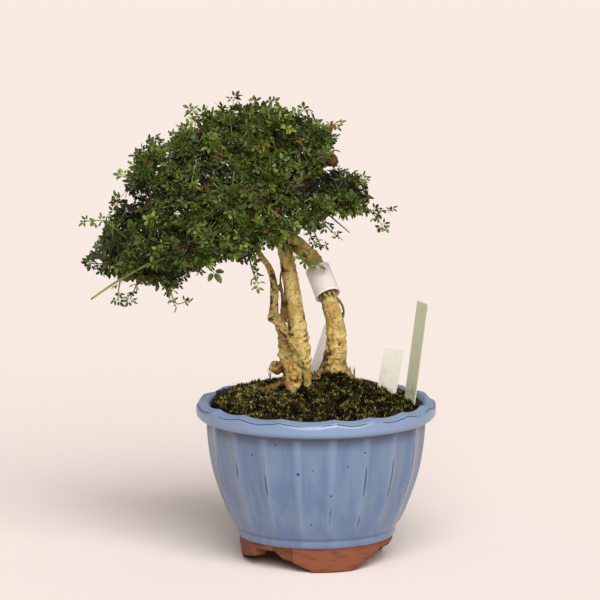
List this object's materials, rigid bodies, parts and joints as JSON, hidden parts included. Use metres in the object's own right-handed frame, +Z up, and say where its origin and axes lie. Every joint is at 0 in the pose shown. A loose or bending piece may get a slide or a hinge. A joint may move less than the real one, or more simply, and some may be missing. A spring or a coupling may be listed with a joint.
{
  "type": "winter jasmine bonsai",
  "caption": "Small winter jasmine tree with a wide leafy crown on twisted trunks, planted in mossy soil in a round fluted blue-glazed pot on three clay feet.",
  "frame": {"origin": "middle of the model's footprint, at the height of the pot's feet", "axes": "+Z up, the long way of the tree; the view of the picture looks along +Y with +X to the right"},
  "size_m": [0.3146, 0.2098, 0.4045],
  "materials": {
    "blue_glaze_over_red_clay": "periwinkle blue stoneware glaze with pinholes, thin and dark on the ridges, over a bare red-brown clay foot",
    "black_net": "black moulded plastic net",
    "bonsai_soil": null,
    "moss": null,
    "jasmine_bark": "pale tan bark with raised pores and brown cracked patches",
    "white_plastic": "smooth white plastic",
    "pale_green_plastic": "smooth pale green plastic",
    "feeding_cake": "dark pressed plant meal, dull and crumbly",
    "jasmine_leaf": null
  },
  "bodies": {
    "root": {"pot": "blue_glaze_over_red_clay", "drainage_mesh": "black_net", "soil": "bonsai_soil", "moss": "moss", "trunks_and_branches": "jasmine_bark", "collar": "white_plastic", "feeding_cake": "feeding_cake", "label_green": "pale_green_plastic", "label_white_front": "white_plastic", "label_white_rear": "white_plastic", "leafy_spray_01": "jasmine_leaf", "leafy_spray_02": "jasmine_leaf", "leafy_spray_03": "jasmine_leaf", "leafy_spray_04": "jasmine_leaf", "leafy_spray_05": "jasmine_leaf", "leafy_spray_06": "jasmine_leaf", "leafy_spray_07": "jasmine_leaf", "leafy_spray_08": "jasmine_leaf", "leafy_spray_09": "jasmine_leaf", "leafy_spray_10": "jasmine_leaf", "leafy_spray_11": "jasmine_leaf", "leafy_spray_12": "jasmine_leaf", "leafy_spray_13": "jasmine_leaf", "leafy_spray_14": "jasmine_leaf", "leafy_spray_15": "jasmine_leaf", "leafy_spray_16": "jasmine_leaf", "leafy_spray_17": "jasmine_leaf", "leafy_spray_18": "jasmine_leaf", "leafy_spray_19": "jasmine_leaf", "leafy_spray_20": "jasmine_leaf", "leafy_spray_21": "jasmine_leaf", "leafy_spray_22": "jasmine_leaf", "leafy_spray_23": "jasmine_leaf", "leafy_spray_24": "jasmine_leaf", "leafy_spray_25": "jasmine_leaf", "leafy_spray_26": "jasmine_leaf", "leafy_spray_27": "jasmine_leaf", "leafy_spray_28": "jasmine_leaf", "leafy_spray_29": "jasmine_leaf", "leafy_spray_30": "jasmine_leaf", "leafy_spray_31": "jasmine_leaf", "leafy_spray_32": "jasmine_leaf", "leafy_spray_33": "jasmine_leaf", "leafy_spray_34": "jasmine_leaf", "leafy_spray_35": "jasmine_leaf", "leafy_spray_36": "jasmine_leaf", "leafy_spray_37": "jasmine_leaf", "leafy_spray_38": "jasmine_leaf", "leafy_spray_39": "jasmine_leaf", "leafy_spray_40": "jasmine_leaf"}
  },
  "joints": []
}
